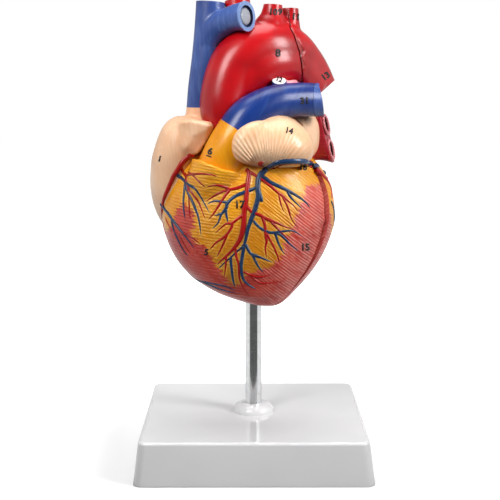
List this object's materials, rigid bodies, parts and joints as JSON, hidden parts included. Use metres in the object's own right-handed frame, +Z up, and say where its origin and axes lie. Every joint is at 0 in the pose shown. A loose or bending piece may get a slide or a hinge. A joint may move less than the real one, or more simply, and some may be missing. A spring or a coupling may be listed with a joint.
{
  "type": "human heart anatomy model",
  "caption": "Life-size human heart teaching model in two halves held by magnets, on a steel post with a square white base; opens to show chambers and valves.",
  "frame": {"origin": "centre of the base where it rests on the table", "axes": "+X to the right as seen from the front, +Y to the back, +Z up along the post"},
  "size_m": [0.13, 0.13, 0.2589],
  "materials": {
    "stand_white": "gloss moulded plastic",
    "post_steel": "polished steel",
    "screw_steel": "zinc-plated steel",
    "liner_ivory": "moulded plastic",
    "muscle_red": "hand-painted vinyl, satin gloss",
    "atrium_tan": "painted vinyl, satin gloss",
    "artery_red": "painted vinyl, gloss",
    "fat_yellow": "hand-painted vinyl, satin gloss",
    "vein_blue": "painted vinyl, gloss",
    "lung_vein_red": "painted vinyl, gloss",
    "valve_cream": "painted vinyl, satin gloss",
    "papillary_red": "painted vinyl, satin gloss",
    "coronary_red": "painted vinyl, gloss",
    "cardiac_vein_blue": "painted vinyl, gloss",
    "disc_grey": "painted vinyl, gloss",
    "magnet_nickel": "nickel plated"
  },
  "bodies": {
    "stand": {"base_shell": "stand_white", "post_flange": "stand_white"},
    "post_body": {"post": "post_steel", "post_screw": "screw_steel", "post_washer": "screw_steel"},
    "heart_rear": {"rod_socket": "liner_ivory", "rear_ventricles": "muscle_red", "right_atrium": "atrium_tan", "left_atrium": "atrium_tan", "descending_aorta": "artery_red", "left_subclavian_artery": "artery_red", "left_pulmonary_artery": "vein_blue", "right_pulmonary_artery": "vein_blue", "left_pulmonary_veins": "lung_vein_red", "right_pulmonary_veins": "lung_vein_red", "inferior_vena_cava": "vein_blue", "mitral_valve": "valve_cream", "tricuspid_valve": "valve_cream", "papillary_muscles": "papillary_red", "chordae_tendineae": "valve_cream", "posterior_coronary_arteries": "coronary_red", "coronary_sinus": "cardiac_vein_blue", "rear_magnets": "magnet_nickel"},
    "heart_front": {"front_ventricles": "fat_yellow", "right_auricle": "atrium_tan", "left_auricle": "atrium_tan", "ascending_aorta": "artery_red", "brachiocephalic_artery": "artery_red", "left_carotid_artery": "artery_red", "superior_vena_cava": "vein_blue", "brachiocephalic_vein": "vein_blue", "vein_end_disc": "disc_grey", "pulmonary_root": "fat_yellow", "pulmonary_trunk": "vein_blue", "ligamentum_arteriosum": "lung_vein_red", "aortic_valve": "valve_cream", "pulmonary_valve": "valve_cream", "coronary_arteries": "coronary_red", "cardiac_veins": "cardiac_vein_blue", "front_magnets": "magnet_nickel"}
  },
  "joints": [
    {"name": "post_swivel", "type": "hinge", "parent": "stand", "child": "post_body", "pos_m": [0, 0, 0], "axis": [0, 0, 1], "continuous": true},
    {"name": "heart_lift", "type": "slide", "parent": "post_body", "child": "heart_rear", "axis": [0, 0, 1], "range_m": [0, 0.06]},
    {"name": "front_off", "type": "slide", "parent": "heart_rear", "child": "heart_front", "axis": [-0.1972, -0.9692, 0.1478], "range_m": [0, 0.1]}
  ]
}
